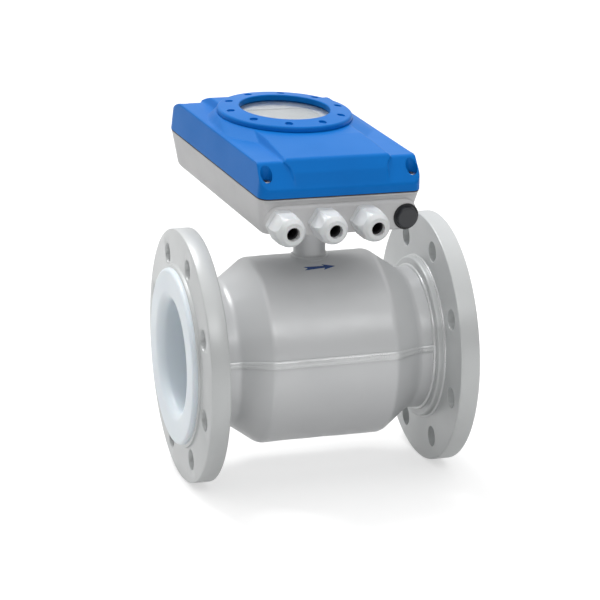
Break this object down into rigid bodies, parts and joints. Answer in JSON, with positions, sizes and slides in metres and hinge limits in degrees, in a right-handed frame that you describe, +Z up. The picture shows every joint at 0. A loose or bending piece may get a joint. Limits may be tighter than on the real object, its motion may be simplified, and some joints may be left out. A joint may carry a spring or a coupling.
{
  "type": "electromagnetic flow meter",
  "caption": "Flanged electromagnetic flow meter with a lined bore and a two-colour converter case standing on a short neck, with a round display window and cable glands.",
  "frame": {"origin": "on the axis of the bore, midway between the two sealing faces", "axes": "+X along the bore in the direction of flow, +Z up through the neck, -Y to the side of the cable glands"},
  "size_m": [0.25, 0.2716, 0.3168],
  "materials": {
    "liner_plastic": "smooth moulded lining, slightly waxy",
    "stainless": "turned stainless steel",
    "sensor_paint": "silver-grey paint, fine grain",
    "black_rubber": "moulded rubber",
    "magnet_steel": "bare pressed steel",
    "coil_copper": "wound enamelled copper wire",
    "case_grey": "light grey powder coat on a casting",
    "cover_blue": "blue powder coat, satin",
    "window_glass": "clear flat glass",
    "board_green": "green circuit board",
    "black_plastic": "black moulded plastic",
    "white_plastic": "white moulded plastic",
    "terminal_plastic": "grey-green terminal housing",
    "display_panel": "unlit liquid crystal panel",
    "gland_plastic": "light grey polyamide"
  },
  "bodies": {
    "meter": {"blanking_plug": "black_plastic", "board_screws": "stainless", "board_standoffs": "stainless", "converter_base": "case_grey", "cover_gasket": "black_rubber", "display_bezel": "white_plastic", "display_lcd": "display_panel", "display_pillars": "white_plastic", "front_electrode": "stainless", "front_electrode_nut": "stainless", "front_electrode_sleeve": "white_plastic", "front_seam_weld": "sensor_paint", "gland_body_1": "gland_plastic", "gland_body_2": "gland_plastic", "gland_body_3": "gland_plastic", "gland_seal_1": "black_rubber", "gland_seal_2": "black_rubber", "gland_seal_3": "black_rubber", "harness_plug": "white_plastic", "inlet_flange": "sensor_paint", "liner": "liner_plastic", "lower_field_coil": "coil_copper", "lower_housing_shell": "sensor_paint", "lower_pole_shoe": "magnet_steel", "magnetic_yoke": "magnet_steel", "main_board": "board_green", "measuring_tube": "stainless", "neck_gasket": "black_rubber", "neck_screws": "stainless", "outlet_flange": "sensor_paint", "plug_washer": "black_rubber", "rear_electrode": "stainless", "rear_electrode_nut": "stainless", "rear_electrode_sleeve": "white_plastic", "rear_seam_weld": "sensor_paint", "sensor_harness": "black_plastic", "sensor_neck": "sensor_paint", "supply_block": "black_plastic", "terminal_block": "terminal_plastic", "upper_field_coil": "coil_copper", "upper_housing_shell": "sensor_paint", "upper_pole_shoe": "magnet_steel"},
    "cover": {"converter_cover": "cover_blue", "window_ring": "cover_blue", "window_seal": "black_rubber", "window_glass": "window_glass", "cover_screws": "stainless"},
    "clamping_nut_1": {"gland_nut_1": "gland_plastic"},
    "clamping_nut_2": {"gland_nut_2": "gland_plastic"},
    "clamping_nut_3": {"gland_nut_3": "gland_plastic"}
  },
  "joints": [
    {"name": "cover_lift", "type": "slide", "parent": "meter", "child": "cover", "axis": [0.0431, -0.1092, 0.9931], "range_m": [0, 0.08]},
    {"name": "gland_1_turn", "type": "hinge", "parent": "meter", "child": "clamping_nut_1", "pos_m": [-0.04664, -0.09587, 0.12543], "axis": [0.1039, -0.9881, -0.1132], "range_deg": [-180, 180]},
    {"name": "gland_2_turn", "type": "hinge", "parent": "meter", "child": "clamping_nut_2", "pos_m": [-0.00875, -0.09175, 0.12424], "axis": [0.1039, -0.9881, -0.1132], "range_deg": [-180, 180]},
    {"name": "gland_3_turn", "type": "hinge", "parent": "meter", "child": "clamping_nut_3", "pos_m": [0.02914, -0.08763, 0.12305], "axis": [0.1039, -0.9881, -0.1132], "range_deg": [-180, 180]}
  ]
}
